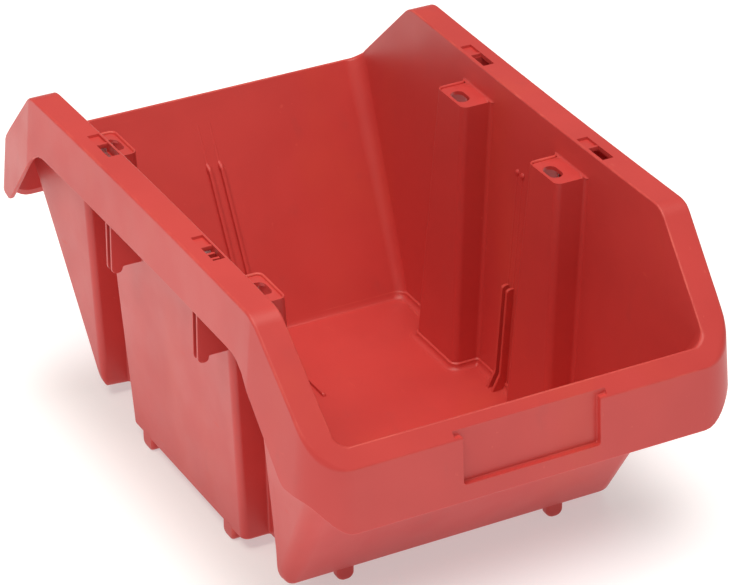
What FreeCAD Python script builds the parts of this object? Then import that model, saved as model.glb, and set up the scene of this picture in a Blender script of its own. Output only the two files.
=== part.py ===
"""Stackable double-open storage bin, one injection moulding in polypropylene, in millimetres.

X runs across the bin, Y from the front (-Y) to the back (+Y) and Z up. The origin is on the
surface that the bin stands on, under the middle of its box. The moulding is divided where its
regions meet, face to face, so that each region has a node: floor, walls, stacking columns, rim
channel, lips, hanger webs, divider guides and feet.
"""
import FreeCAD, Part
import math
import os

from FreeCAD import Vector

# Heights above the standing surface
RIM_Z = 167.5             # top of the level part of the rim
BODY_BOTTOM_Z = 6.5       # underside of the body, which stands on its feet
FLOOR_Z = 9.2             # top of the floor inside
COLUMN_TOP_Z = 154.1      # flat tops of the stacking columns
SIDE_SKIRT_Z = 141.0      # lower edge of the skirt along the level rim
END_SKIRT_Z = 78.0        # lower edge of the skirt at the front and back lips

# Body
WALL = 2.5                # wall thickness
INNER_HALF_WIDTH = 87.5   # inside of the side walls, at the floor
INNER_HALF_LENGTH = 103.0  # inside of the end walls, at the floor
SIDE_DRAFT = 0.0695       # how far a side wall leans out for each millimetre of height
END_LEAN = 0.59           # the same for the front and back walls
INNER_CORNER = 6.0        # corner radius at the floor
CORNER_GROWTH = 0.03      # growth of that radius with height

# Rim, a flange with a skirt hanging from its outer edge
RIM_HALF_WIDTH = 113.0    # outer top edge along the level part
RIM_END_HALF_WIDTH = 104.9  # narrowed outline towards the lips, before the skirt's flare
RIM_END_HALF_LENGTH = 172.3
RIM_CORNER = 17.0
SKIRT_FLARE = 0.072       # outward lean of the skirt for each millimetre down
SKIRT = 2.2               # skirt thickness
FLANGE = 2.4              # flange thickness, square to its top
SLOPE_START = 120.7       # half length of the level rim
SLOPE_ANGLE = math.radians(44.7)
CREASE_RADIUS = 14.0      # rounding where the level rim turns down
SKIRT_BREAK = 110.7       # the lower edge of the skirt slopes down from here
SKIRT_TURN = 150.7        # to here, and runs level
SKIRT_TURN_Z = 95.3
SKIRT_CORNER = 163.0      # to here, and falls round the corner to the lip
LIP_START = 157.0         # the lips and their corners begin here

# Stacking columns, hollow from below and from outside
WIDE_SPACING = 79.0       # half spacing of the left columns
NARROW_SPACING = 45.0     # half spacing of the right columns
COLUMN_FOOT_HALF = 20.3   # half width at the bottom
COLUMN_HEAD_HALF = 13.4   # half width at the top
COLUMN_FOOT_X = 73.0      # inner face at the bottom
COLUMN_HEAD_X = 80.9      # inner face at the top
COLUMN_CORNER = 3.5       # rounding of the upright edges
COLUMN_HOLE = (7.0, 12.0)  # obround hole that takes a foot of the bin above
STACK_X = 87.0            # line of the column holes and of the side feet

# Rim slots
SLOT = (6.0, 24.0)
SLOT_X = 103.0
SLOT_Y = 56.5
SLOT_SHELF_DEPTH = 1.3
SLOT_HOLE_LENGTH = 12.0
SLOT_HOLE_START = 1.5     # the hole begins this far behind the front end

# Hanger webs, thin upright plates between wall and skirt
WEB = 1.5                 # plate thickness
WEB_PITCH = 4.7           # distance between the two plates of a pair
WEB_Y = (33.0, -60.8)     # middles of the pairs on the left side
WEB_BOTTOM_Z = 115.7
WEB_TONGUE_Z = 112.6
WEB_OUTER_X = 112.6
WEB_TONGUE_X = 107.0

# Guides for a loose divider sheet
GUIDE = 1.6               # rib thickness
SIDE_GUIDE_HALF_GAP = 1.5
SIDE_GUIDE_TOP_Z = 66.5
SIDE_GUIDE_DEPTH = 4.5
SIDE_GUIDE_TOE = 8.5      # depth at the floor
SIDE_GUIDE_TOE_HEIGHT = 9.0
END_GUIDE_HALF_GAP = 2.6
END_GUIDE_TOP_Z = 88.5
END_GUIDE_DEPTH = 2.4
FLOOR_GUIDE_END = 33.0    # the floor ribs stop this far from the middle
FLOOR_GUIDE_HEIGHT = 1.6

# Feet
FOOT = (6.0, 11.0)        # across and along a side foot
END_FOOT = (9.0, 6.0)     # across and along an end foot
END_FOOT_X = 57.0
END_FOOT_Y = 101.2

# Label recess in the front lip
LABEL_X = -1.0            # middle of the recess
LABEL_HALF_WIDTH = 35.5
LABEL_BOTTOM_Z = 89.0
LABEL_DEPTH = 3.0
LABEL_NOTCH = 4.0         # the recess widens by this much at its open top
LABEL_NOTCH_Z = 113.0

FAR = 400.0               # well outside the bin
OVERLAP = 5.0             # how far tools reach past the surfaces that they cut or meet
SIDES = {"left": -1, "right": 1}
ENDS = {"front": -1, "back": 1}


def inner_half_width(z):
    return INNER_HALF_WIDTH + SIDE_DRAFT * (z - FLOOR_Z)


def inner_half_length(z):
    return INNER_HALF_LENGTH + END_LEAN * (z - FLOOR_Z)


def box(x0, x1, y0, y1, z0, z1):
    return Part.makeBox(x1 - x0, y1 - y0, z1 - z0, Vector(x0, y0, z0))


def side_room(side):
    """Everything on one side of the middle plane."""
    return box(min(0, side * FAR), max(0, side * FAR), -FAR, FAR, 0, FAR)


def end_room(end, start=0, stop=FAR):
    """Everything from start to stop, measured towards one end."""
    return box(-FAR, FAR, min(end * start, end * stop), max(end * start, end * stop), 0, FAR)


def rounded_wire(corners, radius, z):
    """Closed wire through the plan corners, each rounded with the radius."""
    count = len(corners)
    starts = []
    ends = []
    middles = []
    for index, corner in enumerate(corners):
        here = Vector(corner[0], corner[1], z)
        before = Vector(*corners[index - 1], z) - here
        after = Vector(*corners[(index + 1) % count], z) - here
        before.normalize()
        after.normalize()
        half_angle = before.getAngle(after) / 2
        reach = radius / math.tan(half_angle)
        toward_centre = before + after
        toward_centre.normalize()
        gap = radius / math.sin(half_angle) - radius
        starts.append(here + before * reach)
        ends.append(here + after * reach)
        middles.append(here + toward_centre * gap)
    edges = []
    for index in range(count):
        edges.append(Part.Arc(starts[index], middles[index], ends[index]).toShape())
        edges.append(Part.makeLine(ends[index], starts[(index + 1) % count]))
    return Part.Wire(edges)


def rectangle(half_x, half_y):
    return [(half_x, half_y), (-half_x, half_y), (-half_x, -half_y), (half_x, -half_y)]


def loft(low, high):
    return Part.makeLoft([low, high], True, True)


def body_envelope(thickness, bottom_z):
    """Leaning, rounded block up past the rim: the cavity, or the outside of the walls."""
    wires = []
    end_thickness = thickness * math.sqrt(1 + END_LEAN ** 2)
    for z in (bottom_z, RIM_Z + OVERLAP):
        corners = rectangle(inner_half_width(z) + thickness, inner_half_length(z) + end_thickness)
        radius = INNER_CORNER + thickness + CORNER_GROWTH * (z - FLOOR_Z)
        wires.append(rounded_wire(corners, radius, z))
    return loft(*wires)


def rim_envelope(inset):
    """Outside of the skirt, or with an inset its inside, as a flared block."""
    wires = []
    for z in (END_SKIRT_Z - OVERLAP, RIM_Z + OVERLAP):
        grow = SKIRT_FLARE * (RIM_Z - z) - inset
        side = RIM_HALF_WIDTH + grow
        end_side = RIM_END_HALF_WIDTH + grow
        end = RIM_END_HALF_LENGTH + grow
        quarter = [(side, -SLOPE_START), (side, SLOPE_START), (end_side, end), (-end_side, end)]
        corners = quarter + [(-x, -y) for x, y in quarter]
        wires.append(rounded_wire(corners, RIM_CORNER + grow, z))
    return loft(*wires)


def prism(profile, half_width=FAR):
    """Extrude a closed YZ outline across the bin."""
    points = [Vector(-half_width, y, z) for y, z in profile]
    face = Part.Face(Part.makePolygon(points + points[:1]))
    return face.extrude(Vector(2 * half_width, 0, 0))


def below_rim(offset):
    """Everything lower than the rim's top surface moved down square to itself by offset."""
    start = SLOPE_START - offset * math.tan(SLOPE_ANGLE / 2)
    top = RIM_Z - offset
    far_z = top - (FAR - start) * math.tan(SLOPE_ANGLE)
    solid = prism([(-FAR, far_z), (-start, top), (start, top), (FAR, far_z), (FAR, -FAR), (-FAR, -FAR)])
    creases = []
    for edge in solid.Edges:
        middle = edge.BoundBox.Center
        if abs(abs(middle.y) - start) < 0.1 and abs(middle.z - top) < 0.1:
            creases.append(edge)
    return solid.makeFillet(CREASE_RADIUS - offset, creases)


def below_skirt():
    """Everything lower than the lower edge of the skirt."""
    lip = RIM_END_HALF_LENGTH + SKIRT_FLARE * (RIM_Z - END_SKIRT_Z)
    half = [(SKIRT_BREAK, SIDE_SKIRT_Z), (SKIRT_TURN, SKIRT_TURN_Z), (SKIRT_CORNER, SKIRT_TURN_Z),
            (lip, END_SKIRT_Z), (FAR, END_SKIRT_Z)]
    other = [(-y, z) for y, z in reversed(half)]
    return prism(other + half + [(FAR, -FAR), (-FAR, -FAR)])


def between_end_walls():
    """The room between the planes of the end walls' inner faces."""
    low = inner_half_length(0)
    high = inner_half_length(RIM_Z + OVERLAP)
    return prism([(-low, 0), (low, 0), (high, RIM_Z + OVERLAP), (-high, RIM_Z + OVERLAP)])


def column_block(side, y, inset, bottom_z, top_z):
    """Tapered upright block of a column, from its inner face out past the wall."""
    wires = []
    for z in (bottom_z, top_z):
        share = (z - BODY_BOTTOM_Z) / (COLUMN_TOP_Z - BODY_BOTTOM_Z)
        half = COLUMN_FOOT_HALF + (COLUMN_HEAD_HALF - COLUMN_FOOT_HALF) * share - inset
        near = COLUMN_FOOT_X + (COLUMN_HEAD_X - COLUMN_FOOT_X) * share + inset
        far = RIM_HALF_WIDTH + OVERLAP
        middle = (near + far) / 2
        corners = rectangle((far - near) / 2, half)
        wire = rounded_wire(corners, COLUMN_CORNER - inset, z)
        wire.translate(Vector(side * middle, y, 0))
        wires.append(wire)
    return loft(*wires)


def obround(length_x, length_y, z0, z1):
    """Upright bar with a long-hole section; the longer side sets the straight run."""
    radius = min(length_x, length_y) / 2
    run_x = length_x / 2 - radius
    run_y = length_y / 2 - radius
    ends = [Part.makeCylinder(radius, z1 - z0, Vector(sign * run_x, sign * run_y, z0)) for sign in (-1, 1)]
    half_x = max(run_x, radius if run_y else 0)
    half_y = max(run_y, radius if run_x else 0)
    return ends[0].fuse([ends[1], box(-half_x, half_x, -half_y, half_y, z0, z1)]).removeSplitter()


def moved(shape, x, y):
    copy = shape.copy()
    copy.translate(Vector(x, y, 0))
    return copy


def column_places():
    """Name, side and Y of each stacking column: wide apart on the left, close on the right."""
    places = []
    for side_name, spacing in (("left", WIDE_SPACING), ("right", NARROW_SPACING)):
        for end_name, end in ENDS.items():
            places.append((f"{side_name}_{end_name}", SIDES[side_name], end * spacing))
    return places


def make_body(shell, columns):
    """Floor, end walls and the three sections of each side wall."""
    nodes = {}
    middle = between_end_walls()
    nodes["floor_panel"] = shell.common(box(-FAR, FAR, -FAR, FAR, 0, FLOOR_Z)).cut(columns)
    walls = shell.common(box(-FAR, FAR, -FAR, FAR, FLOOR_Z, FAR))
    for end_name, end in ENDS.items():
        nodes[f"{end_name}_wall"] = walls.common(end_room(end)).cut(middle)
    side_walls = walls.common(middle)
    for side_name, side in SIDES.items():
        spacing = WIDE_SPACING if side < 0 else NARROW_SPACING
        stretches = {"front": (-FAR, -spacing), "middle": (-spacing, spacing), "back": (spacing, FAR)}
        for name, (y0, y1) in stretches.items():
            stretch = side_walls.common(side_room(side)).common(end_room(1, y0, y1))
            nodes[f"{side_name}_wall_{name}"] = stretch.cut(columns)
    return nodes


def above_column(side, y):
    """The room straight over a column's top."""
    room = box(-FAR, FAR, y - COLUMN_HEAD_HALF, y + COLUMN_HEAD_HALF, COLUMN_TOP_Z, FAR)
    return room.common(side_room(side))


def make_columns(shell, outside):
    """Columns with their holed tops and the strip of wall above each one."""
    nodes = {}
    hole = obround(*COLUMN_HOLE, COLUMN_TOP_Z - WALL - OVERLAP, COLUMN_TOP_Z + OVERLAP)
    for name, side, y in column_places():
        block = column_block(side, y, 0, BODY_BOTTOM_Z, COLUMN_TOP_Z).common(outside)
        channel = column_block(side, y, WALL, BODY_BOTTOM_Z - OVERLAP, COLUMN_TOP_Z - WALL)
        strip = shell.common(above_column(side, y))
        column = block.cut([channel, moved(hole, side * STACK_X, y)])
        nodes[f"{name}_column"] = column.fuse(strip).removeSplitter()
    return nodes


def cut_slots(rim):
    """Two stepped slots in each side of the rim: a shelf at the back, a hole at the front."""
    for side in SIDES.values():
        for end in ENDS.values():
            x = side * SLOT_X
            y = end * SLOT_Y
            half_x = SLOT[0] / 2
            front = y - SLOT[1] / 2
            pocket = box(x - half_x, x + half_x, front, front + SLOT[1], RIM_Z - SLOT_SHELF_DEPTH, FAR)
            start = front + SLOT_HOLE_START
            hole = box(x - half_x, x + half_x, start, start + SLOT_HOLE_LENGTH, RIM_Z - OVERLAP, FAR)
            rim = rim.cut([pocket, hole])
    return rim


def cut_label_recess(rim):
    """Step the front skirt inward behind a recess for a label card."""
    lip_y = -(RIM_END_HALF_LENGTH + SKIRT_FLARE * (RIM_Z - LABEL_BOTTOM_Z))
    back_y = lip_y + LABEL_DEPTH
    behind = LABEL_HALF_WIDTH + 2 * SKIRT
    notch = LABEL_HALF_WIDTH + LABEL_NOTCH
    backing = box(LABEL_X - behind, LABEL_X + behind, lip_y, back_y + SKIRT, LABEL_BOTTOM_Z - SKIRT, FAR)
    backing = backing.common(rim_envelope(0)).common(below_rim(0))
    recess = box(LABEL_X - LABEL_HALF_WIDTH, LABEL_X + LABEL_HALF_WIDTH, -FAR, back_y, LABEL_BOTTOM_Z, FAR)
    notches = box(LABEL_X - notch, LABEL_X + notch, -FAR, back_y, LABEL_NOTCH_Z, FAR)
    return rim.fuse(backing).cut([recess, notches]).removeSplitter()


def make_rim(cavity):
    """Level rim channels, sloping rims and the two lips."""
    outside = rim_envelope(0).common(below_rim(0)).cut(below_skirt())
    skirt_inside = rim_envelope(SKIRT).common(below_rim(FLANGE))
    rim = outside.cut(skirt_inside)
    rim = cut_slots(cut_label_recess(rim).cut(cavity))
    nodes = {}
    level = prism([(-SKIRT_BREAK, SIDE_SKIRT_Z - OVERLAP), (SKIRT_BREAK, SIDE_SKIRT_Z - OVERLAP),
                   (SLOPE_START, RIM_Z + OVERLAP), (-SLOPE_START, RIM_Z + OVERLAP)])
    for side_name, side in SIDES.items():
        half = rim.common(side_room(side))
        nodes[f"{side_name}_rim"] = half.common(level)
        for end_name, end in ENDS.items():
            slope = half.common(end_room(end, 0, LIP_START)).cut(level)
            nodes[f"{side_name}_{end_name}_rim_slope"] = slope
    for end_name, end in ENDS.items():
        nodes[f"{end_name}_lip"] = rim.common(end_room(end, LIP_START))
    return nodes


def upright_plate(outline, y, thickness):
    """Plate with an XZ outline, centred on y."""
    points = [Vector(x, y - thickness / 2, z) for x, z in outline]
    face = Part.Face(Part.makePolygon(points + points[:1]))
    return face.extrude(Vector(0, thickness, 0))


def make_webs(outside):
    """Pairs of hanger plates under the rim; the right side repeats the left, turned half round."""
    nodes = {}
    room = rim_envelope(SKIRT).common(below_rim(FLANGE)).cut(outside)
    skirt_foot = SIDE_SKIRT_Z + WEB
    outline = [(WEB_OUTER_X, WEB_TONGUE_Z), (WEB_OUTER_X, skirt_foot), (FAR, skirt_foot), (FAR, RIM_Z),
               (0, RIM_Z), (0, WEB_BOTTOM_Z), (WEB_TONGUE_X, WEB_BOTTOM_Z), (WEB_TONGUE_X, WEB_TONGUE_Z)]
    for side_name, side in SIDES.items():
        for left_y in WEB_Y:
            y = -side * left_y
            end_name = "back" if y > 0 else "front"
            plates = []
            for offset in (-WEB_PITCH / 2, WEB_PITCH / 2):
                plate = upright_plate([(side * x, z) for x, z in outline], y + offset, WEB)
                plates.append(plate.common(room))
            nodes[f"{side_name}_{end_name}_hanger_webs"] = Part.makeCompound(plates)
    return nodes


def make_side_guides(cavity):
    """Upright rib pairs in the middle of each side wall, flared at the floor."""
    nodes = {}
    for side_name, side in SIDES.items():
        foot = inner_half_width(FLOOR_Z)
        head = inner_half_width(SIDE_GUIDE_TOP_Z)
        outline = [(foot + OVERLAP, FLOOR_Z), (foot - SIDE_GUIDE_TOE, FLOOR_Z),
                   (foot - SIDE_GUIDE_DEPTH, FLOOR_Z + SIDE_GUIDE_TOE_HEIGHT),
                   (head - SIDE_GUIDE_DEPTH, SIDE_GUIDE_TOP_Z), (head + OVERLAP, SIDE_GUIDE_TOP_Z)]
        ribs = []
        for sign in (-1, 1):
            y = sign * (SIDE_GUIDE_HALF_GAP + GUIDE / 2)
            ribs.append(upright_plate([(side * x, z) for x, z in outline], y, GUIDE).common(cavity))
        nodes[f"{side_name}_divider_guide"] = Part.makeCompound(ribs)
    return nodes


def make_end_guides(cavity):
    """Rib pairs up the end walls that run on as low ribs across the floor."""
    nodes = {}
    for end_name, end in ENDS.items():
        foot = inner_half_length(FLOOR_Z)
        head = inner_half_length(END_GUIDE_TOP_Z)
        floor_top = FLOOR_Z + FLOOR_GUIDE_HEIGHT
        outline = [(foot + OVERLAP, FLOOR_Z), (FLOOR_GUIDE_END, FLOOR_Z), (FLOOR_GUIDE_END, floor_top),
                   (foot - END_GUIDE_DEPTH, floor_top), (head - END_GUIDE_DEPTH, END_GUIDE_TOP_Z),
                   (head + OVERLAP, END_GUIDE_TOP_Z)]
        rib = prism([(end * y, z) for y, z in outline], GUIDE / 2)
        ribs = []
        for sign in (-1, 1):
            ribs.append(moved(rib, sign * (END_GUIDE_HALF_GAP + GUIDE / 2), 0).common(cavity))
        nodes[f"{end_name}_divider_guide"] = Part.makeCompound(ribs)
    return nodes


def make_feet():
    """Side feet that drop into the column holes of a bin below turned half round, and end feet."""
    nodes = {}
    for side_name, spacing in (("left", NARROW_SPACING), ("right", WIDE_SPACING)):
        for end_name, end in ENDS.items():
            foot = moved(obround(*FOOT, 0, BODY_BOTTOM_Z), SIDES[side_name] * STACK_X, end * spacing)
            nodes[f"{side_name}_{end_name}_foot"] = foot
    for end_name, end in ENDS.items():
        for side_name, side in SIDES.items():
            foot = moved(obround(*END_FOOT, 0, BODY_BOTTOM_Z), side * END_FOOT_X, end * END_FOOT_Y)
            nodes[f"{end_name}_{side_name}_end_foot"] = foot
    return nodes


def main():
    os.makedirs("parts", exist_ok=True)
    cavity = body_envelope(0, FLOOR_Z)
    outside = body_envelope(WALL, BODY_BOTTOM_Z).common(below_rim(FLANGE))
    shell = outside.cut(cavity)
    columns = []
    for _name, side, y in column_places():
        columns.append(column_block(side, y, 0, BODY_BOTTOM_Z, COLUMN_TOP_Z))
        columns.append(above_column(side, y))
    nodes = make_body(shell, columns)
    nodes.update(make_columns(shell, outside))
    nodes.update(make_rim(cavity))
    nodes.update(make_webs(body_envelope(WALL, BODY_BOTTOM_Z)))
    nodes.update(make_side_guides(cavity))
    nodes.update(make_end_guides(cavity))
    nodes.update(make_feet())
    for name, shape in nodes.items():
        solids = len(shape.Solids)
        print(f"{name}: {solids} solid(s), {shape.Volume / 1000:.1f} cm3, valid {shape.isValid()}")
        shape.exportStep(f"parts/{name}.step")


main()
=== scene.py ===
"""Looks of the stackable storage bin: one red polypropylene moulding on a pale studio floor.

Lengths are in millimetres in the bin's own frame (X across, Y from front to back, Z up) until a
mesh is made. Each piece is a closed solid swept through equal section loops, and neighbouring
pieces meet where the surface is flat, so the moulding shows no seams.
"""
import bmesh
import bpy
import math
from collections import namedtuple
from functools import lru_cache, partial
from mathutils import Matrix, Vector


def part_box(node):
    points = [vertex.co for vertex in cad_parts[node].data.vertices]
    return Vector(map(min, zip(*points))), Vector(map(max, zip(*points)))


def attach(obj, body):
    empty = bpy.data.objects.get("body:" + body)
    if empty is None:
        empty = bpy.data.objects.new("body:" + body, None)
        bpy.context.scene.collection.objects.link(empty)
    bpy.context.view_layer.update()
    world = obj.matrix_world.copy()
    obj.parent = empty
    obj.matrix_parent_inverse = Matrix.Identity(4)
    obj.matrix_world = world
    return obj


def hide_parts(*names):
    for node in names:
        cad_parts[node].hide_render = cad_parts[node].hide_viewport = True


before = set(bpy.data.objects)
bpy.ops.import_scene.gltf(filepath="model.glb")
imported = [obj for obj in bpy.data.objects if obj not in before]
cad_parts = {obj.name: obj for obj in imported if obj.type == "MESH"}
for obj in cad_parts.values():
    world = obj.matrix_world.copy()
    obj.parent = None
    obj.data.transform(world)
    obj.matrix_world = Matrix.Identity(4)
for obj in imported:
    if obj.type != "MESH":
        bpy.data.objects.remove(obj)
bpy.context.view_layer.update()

MM = 0.001


def millimetres(node):
    """Lowest and highest corner of a CAD node."""
    low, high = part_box(node)
    return low / MM, high / MM


def middle(node):
    low, high = millimetres(node)
    return (low + high) / 2


def nodes_ending(ending):
    """Names of the CAD nodes with this ending."""
    return [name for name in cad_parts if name.endswith(ending)]


# Heights and plan sizes of the body
FLOOR_Z = millimetres("floor_panel")[1].z
BOTTOM_Z = millimetres("floor_panel")[0].z
RIM_Z = millimetres("left_rim")[1].z
COLUMN_Z = 154.1           # flat tops of the stacking columns
FLOOR_HALF_WIDTH = 87.5
FLOOR_HALF_LENGTH = 103.0
SIDE_DRAFT = 0.0695        # outward lean of a side wall for each millimetre of height
END_LEAN = 0.59            # the same for an end wall
INNER_CORNER = 6.0
CORNER_GROWTH = 0.03
WALL = 2.5
END_WALL = 2.9             # the leaning wall measured level

# Stacking columns
COLUMN_Y = {"left": middle("left_back_column").y, "right": middle("right_back_column").y}
COLUMN_FOOT_HALF = 20.3
COLUMN_HEAD_HALF = 13.4
COLUMN_FOOT_X = 73.0
COLUMN_HEAD_X = 80.9
COLUMN_EDGE = 1.1          # rounding round a column's top
COLUMN_HOLE = (7.0, 12.0)
COLUMN_HOLE_EDGE = 0.8
STACK_X = abs(middle("left_back_foot").x)

# Rim: a flange with a skirt hanging from its outer edge
RIM_HALF_WIDTH = 113.0
RIM_END_HALF_WIDTH = 104.9
RIM_END_HALF_LENGTH = 172.3
RIM_CORNER = 17.0
SKIRT_FLARE = 0.072
SKIRT = 2.2
FLANGE = 2.4
SIDE_SKIRT_Z = 141.0
END_SKIRT_Z = millimetres("front_lip")[0].z
SLOPE_START = 120.7
SLOPE_ANGLE = math.radians(44.7)
CREASE_RADIUS = 14.0
LIP_END = RIM_END_HALF_LENGTH + SKIRT_FLARE * (RIM_Z - END_SKIRT_Z)
SKIRT_BREAK = 110.7        # the skirt's lower edge slopes down from here
SKIRT_TURN = 150.7         # to here, and runs level
SKIRT_TURN_Z = 95.3
SKIRT_CORNER = 160.0       # to here, and falls round the corner to the lip
SKIRT_FALL = 2.7           # power of the curve it falls by
SKIRT_RADII = (19.0, 14.0)       # where it leaves the level, and where it turns level again
RIM_BOW = 1.0              # the long sides are drawn in by this much halfway
BOW_HALF_LENGTH = 115.0

# Rim slots, with the places along them measured from their front ends
SLOT = (6.0, 24.0)
SLOT_X = 103.0
SLOT_Y = 56.5
SLOT_SHELF_DEPTH = 1.3
SLOT_RAMP = 1.5
SLOT_HOLE_END = 13.5
SLOT_RIDGE = (13.8, 15.0)
SLOT_RIDGE_HEIGHT = 0.9
SLOT_LEAN = 0.3            # lean of a slot's steps
SLOT_LONG_LEAN = 0.4       # the same before the ramp and after the ridge
CLEAR = 1                  # cutting tools reach this far past the surface

# Hanger webs, thin upright plates between wall and skirt
WEB = 1.5
WEB_PITCH = 4.7
WEB_BOTTOM_Z = 115.7
WEB_TONGUE_Z = millimetres("left_back_hanger_webs")[0].z
WEB_TONGUE_X = 107.0
WEB_OUTER_X = 112.6
WEB_RADII = (0.9, 2.75, 2.75, 0.9, 0.3, 0.3)
WEB_ROOM = (0.66, 0.48)
WEB_BEVEL = 0.25
SUNK = 0.4                 # webs run this far into the wall, the skirt and the flange

# Guides for a loose divider sheet
GUIDE = 1.8
GUIDE_BEVEL = 0.3
GUIDE_SUNK = 0.3           # how far a guide runs into the floor
GUIDE_ROOT = -1            # and into the wall
SIDE_GUIDE_Y = 2.4
SIDE_GUIDE_DEPTH = 3.8
SIDE_GUIDE_TOE = 7.8
SIDE_GUIDE_TOE_HEIGHT = 9.0
SIDE_GUIDE_Z = millimetres("left_divider_guide")[1].z
SIDE_GUIDE_RADII = (0.3, 6.0, 1.8)
SIDE_LINE_Z = 129.0        # a low line runs on above the guide to here
END_GUIDE_X = 3.4
END_GUIDE_DEPTH = 2.4
END_GUIDE_Z = millimetres("front_divider_guide")[1].z
END_GUIDE_RADII = (0.2, 1.2, 3.0, 1.4)
END_LINE_Z = 106.0
FLOOR_GUIDE_END = 33.0
FLOOR_GUIDE_HEIGHT = 1.6

# Label recess in the front lip
LABEL_X = -1.0
LABEL_HALF_WIDTH = 35.5
LABEL_BOTTOM_Z = 89.0
LABEL_DEPTH = 3.0
LABEL_NOTCH = 4.0
LABEL_NOTCH_Z = 113.0
LABEL_RADII = (0.8, 0.3, 1.4)    # its outline's roundings, from the top down
LABEL_MOUTH = 0.25         # rounding round its mouth
LABEL_FLOOR_EDGE = 0.4     # and round its floor
LABEL_CLEAR = 8.0          # the cutting tool starts this far in front of the face
BACKING_START = 1.0        # the lip is thickened behind the recess from this depth on
BACKING_FRONT_Z = (86.5, 111.5)
BACKING_REAR_Z = (87.5, 115.5)

# Where the pieces part
SEAM_DROP = 8.0            # the walls end this far below the rim's top
RIM_PART_Y = 110.0         # level rim to sloping rim
LIP_PART_Y = 146.0         # sloping rim to lip
MIDDLE_SEAM = 0.85         # share of the way from the middle of the side to a column
END_SEAM_NEAR = 0.15       # share of the way from a column to the corner
END_SEAM_FAR = 0.85

# Roundings
FLOOR_FILLET = {-1: 1.7, 1: 2.5}   # height of the floor's rounding on each side
WALL_STEP = 0.6            # height of the step where a side wall's lowest band begins
WALL_STEP_Z = 12.9
BOTTOM_EDGE = 1.5
PILLAR_BOTTOM_EDGE = (4.4, 9.0)  # inward and upward, under the narrow pillars by the left columns
PILLAR_COLUMN_EDGE = -1.2  # where their soles end at the column, outward from its inner face
PILLAR_X = 79.0            # the floor panel stops here behind a left column
RISE_SHARES = (0.08, 0.2, 0.5)   # a wall's points, as shares of the way up from its step line
WING_DROP = 0.4            # beside a column this keeps two points of the outside apart
INNER_LIP_EDGE = 1.0
OUTER_LIP_EDGE = 1.5
SKIRT_EDGE = 0.7
UNDER_FILLET = 1.2
CORNER_SOFTNESS = 2.6      # the rim's upper edges are rounder by this much at the corners
FOOT_ENDS = 3.4            # rounding at the ends of a foot's sole
FOOT_SIDES = 0.9
FOOT_CORNER = 0.55         # plan rounding as a share of a foot's half width
FOOT_TOP = 0.4             # the feet stop this far below the floor's top
ROOM = (0.42, 0.42)        # a rounding takes at most these shares of the way to its neighbours
THROAT_ROOM = (0.42, 0.18)       # the same where a column meets the wall towards the end
CORNER_ROOM = (0.74, 0.42)       # and at the tub's corner
SHARP_ANGLE = math.radians(38)   # edges that turn by more are shaded crisp
BEVEL_ANGLE = math.radians(40)   # and on ribs and webs, edges that turn by more are bevelled

# How finely the curves are divided
ARC_STEPS = 5
CORNER_STEPS = 12
CREASE_STEPS = 10
MIDDLE_STEPS = 6
RIM_STEPS = 12
HOLE_STEPS = 12
LABEL_STEPS = 3
LINE_STEPS = 8

# A skin is a copy of the inner surface moved outward by these amounts, with these corner radii.
# The lowest band of a side wall stands back on the left (-1) and proud on the right (1).
Skin = namedtuple("Skin", "side end column throat nose corner")
INNER = Skin(0.0, 0.0, 0.0, 2.0, 3.5, 0.0)
OUTER = Skin(WALL, END_WALL, WALL, 3.5, 1.0, WALL)
BAND = {-1: Skin(0.8, 0.0, 0.8, 2.3, 3.2, 0.0), 1: Skin(-0.8, 0.0, -0.8, 1.4, 4.3, 0.0)}
FLOOR_EDGE = {-1: Skin(-0.9, -0.8, -0.9, 0.6, 4.6, -1.2), 1: Skin(-3.4, -0.8, -3.4, 0.6, 6.9, -1.2)}
BOTTOM_RIM = Skin(WALL - BOTTOM_EDGE, END_WALL - BOTTOM_EDGE, 1.8, 3.5, 1.7, WALL - BOTTOM_EDGE)
PANEL = {-1: Skin(-1.7, -1.7, -1.7, 0.5, 5.2, 1.0), 1: Skin(-3.9, -1.7, -3.9, 0.5, 7.4, 1.0)}

Place = namedtuple("Place", "side end column_y")
PLACES = {}
for side_name, side_sign in (("left", -1), ("right", 1)):
    for end_name, end_sign in (("front", -1), ("back", 1)):
        PLACES[side_name, end_name] = Place(side_sign, end_sign, COLUMN_Y[side_name])


def lerp(low, high, share):
    return low + (high - low) * share


def mix(first, second, share):
    return Skin(*[lerp(a, b, share) for a, b in zip(first, second)])


def arc_shares(steps):
    """Pairs (1 - cos, sin) round a quarter circle."""
    angles = [math.pi / 2 * step / steps for step in range(steps + 1)]
    return [(1 - math.cos(angle), math.sin(angle)) for angle in angles]


def fillet(before, corner, after, radius, steps, room=ROOM):
    """Points round a corner between two neighbours, using at most a share of the way to each."""
    to_before = before - corner
    to_after = after - corner
    half_angle = to_before.angle(to_after) / 2
    reach = min(radius / math.tan(half_angle), room[0] * to_before.length, room[1] * to_after.length)
    radius = reach * math.tan(half_angle)
    to_before.normalize()
    to_after.normalize()
    bisector = (to_before + to_after).normalized()
    centre = corner + bisector * (radius / math.sin(half_angle))
    first = corner + to_before * reach - centre
    last = corner + to_after * reach - centre
    turn = first.angle(last)
    points = []
    for step in range(steps + 1):
        share = step / steps
        start_part = math.sin((1 - share) * turn) / math.sin(turn)
        end_part = math.sin(share * turn) / math.sin(turn)
        points.append(centre + first * start_part + last * end_part)
    return points


def rounded_section(points, radii, room=ROOM):
    """Polyline with its inner points rounded; the first and last points stay."""
    section = [points[0]]
    for index, radius in enumerate(radii, start=1):
        section += fillet(points[index - 1], points[index], points[index + 1], radius, ARC_STEPS, room)
    return section + [points[-1]]


# ---- the tub: plan outline of a quarter, from the middle of the side to the middle of the end ----

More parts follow.
